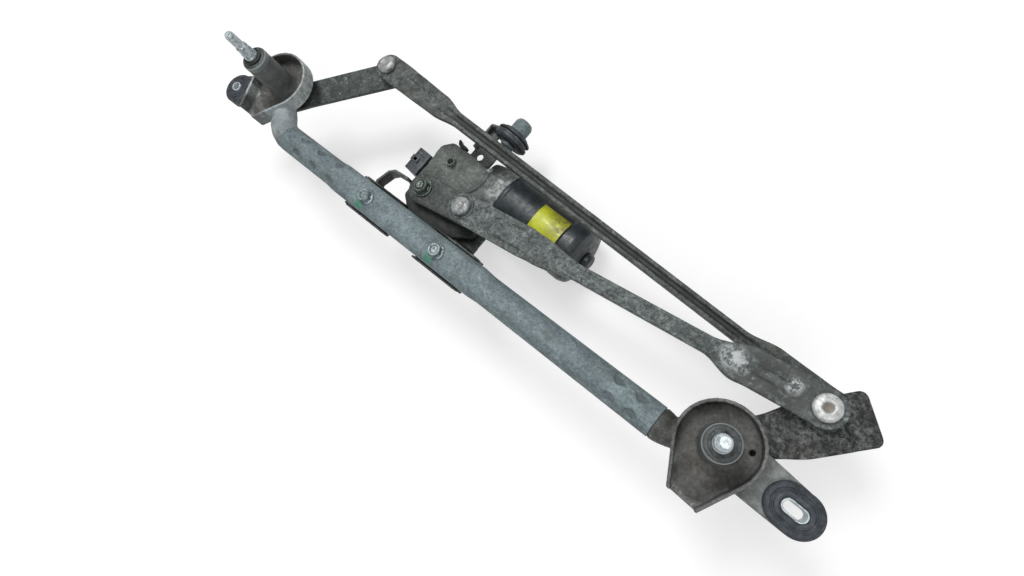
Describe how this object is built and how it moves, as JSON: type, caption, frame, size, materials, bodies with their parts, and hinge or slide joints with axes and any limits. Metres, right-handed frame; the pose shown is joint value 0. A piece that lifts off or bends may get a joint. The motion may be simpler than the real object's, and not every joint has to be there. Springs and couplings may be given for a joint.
{
  "type": "wiper linkage",
  "caption": "Front windscreen wiper linkage: cast pivot housings on a steel tube, with levers, ball-jointed links, a crank and a geared motor on a pressed bracket",
  "frame": {"origin": "centre of the right spindle's end face", "axes": "+X from the left spindle to the right one, +Y from the tube towards the links, +Z out along the spindles"},
  "size_m": [0.6456, 0.1656, 0.1825],
  "materials": {
    "tube_zinc": "satin",
    "cast_alloy": "rough",
    "bronze": "satin",
    "black_rubber": "matte",
    "bright_zinc": "satin",
    "dark_steel": "weathered",
    "black_steel": "satin",
    "dark_plastic": "matte",
    "slate_plastic": "matte",
    "white_plastic": "matte",
    "yellow_film": "gloss",
    "ball_steel": "polished"
  },
  "bodies": {
    "frame": {"frame_tube": "tube_zinc", "left_pivot_housing": "cast_alloy", "right_pivot_housing": "cast_alloy", "left_bush": "bronze", "right_bush": "bronze", "left_spindle_seal": "black_rubber", "right_spindle_seal": "black_rubber", "left_mount_grommet": "black_rubber", "right_mount_grommet": "black_rubber", "left_mount_sleeve": "bright_zinc", "right_mount_sleeve": "bright_zinc", "motor_bracket": "tube_zinc", "bracket_bolt_left": "bright_zinc", "bracket_bolt_right": "bright_zinc", "bracket_nut_left": "bright_zinc", "bracket_nut_right": "bright_zinc", "third_mount_grommet": "black_rubber", "third_mount_peg": "dark_plastic", "gear_housing": "cast_alloy", "gear_cover": "dark_plastic", "cover_screw_1": "bright_zinc", "cover_screw_2": "bright_zinc", "cover_screw_3": "bright_zinc", "motor_screw_1": "bright_zinc", "motor_screw_2": "bright_zinc", "motor_screw_3": "bright_zinc", "motor_can": "black_steel", "motor_end_cap": "black_steel", "motor_label": "yellow_film", "motor_connector": "slate_plastic", "loom_clip": "dark_plastic"},
    "crank": {"crank_arm": "dark_steel", "motor_output_shaft": "bright_zinc", "crank_washer": "dark_steel", "crank_nut": "dark_steel"},
    "right_rocker": {"right_lever": "dark_steel", "right_spindle": "bright_zinc", "right_thrust_washer": "dark_plastic", "right_retaining_ring": "dark_steel", "drive_ball_stud": "ball_steel"},
    "left_rocker": {"left_lever": "dark_steel", "left_spindle": "bright_zinc", "left_thrust_washer": "dark_plastic", "left_retaining_ring": "dark_steel", "left_ball_stud": "ball_steel"},
    "drive_link": {"drive_link_rod": "dark_steel", "drive_link_crank_socket": "white_plastic", "drive_link_rocker_socket": "white_plastic", "crank_ball_stud": "ball_steel"},
    "long_link": {"long_link_rod": "dark_steel", "long_link_left_socket": "white_plastic", "long_link_right_socket": "white_plastic", "long_link_right_stud": "ball_steel"}
  },
  "joints": [
    {"name": "right_rocker_turn", "type": "hinge", "parent": "frame", "child": "right_rocker", "pos_m": [0, 0, -0.076], "axis": [0, 0, 1], "range_deg": [0, 92.83]},
    {"name": "left_rocker_turn", "type": "hinge", "parent": "frame", "child": "left_rocker", "pos_m": [-0.503, 0, -0.076], "axis": [0, 0, 1], "range_deg": [0, 73.7]},
    {"name": "crank_turn", "type": "hinge", "parent": "frame", "child": "crank", "pos_m": [-0.331, 0.011, -0.117], "axis": [0, 0, 1], "range_deg": [0, 176.52]},
    {"name": "drive_link_swivel", "type": "hinge", "parent": "right_rocker", "child": "drive_link", "pos_m": [0.03584, 0.0636, -0.0857], "axis": [0, 0, 1], "range_deg": [-96.36, 0]},
    {"name": "long_link_swivel", "type": "hinge", "parent": "left_rocker", "child": "long_link", "pos_m": [-0.4286, 0.07731, -0.0857], "axis": [0, 0, 1], "range_deg": [-78.28, 0]}
  ],
  "couplings": [
    {"joint": "left_rocker_turn", "follows": "right_rocker_turn", "ratio": 0.79371},
    {"joint": "crank_turn", "follows": "right_rocker_turn", "ratio": 1.9012},
    {"joint": "drive_link_swivel", "follows": "right_rocker_turn", "ratio": -1.0377},
    {"joint": "long_link_swivel", "follows": "right_rocker_turn", "ratio": -0.84297}
  ]
}
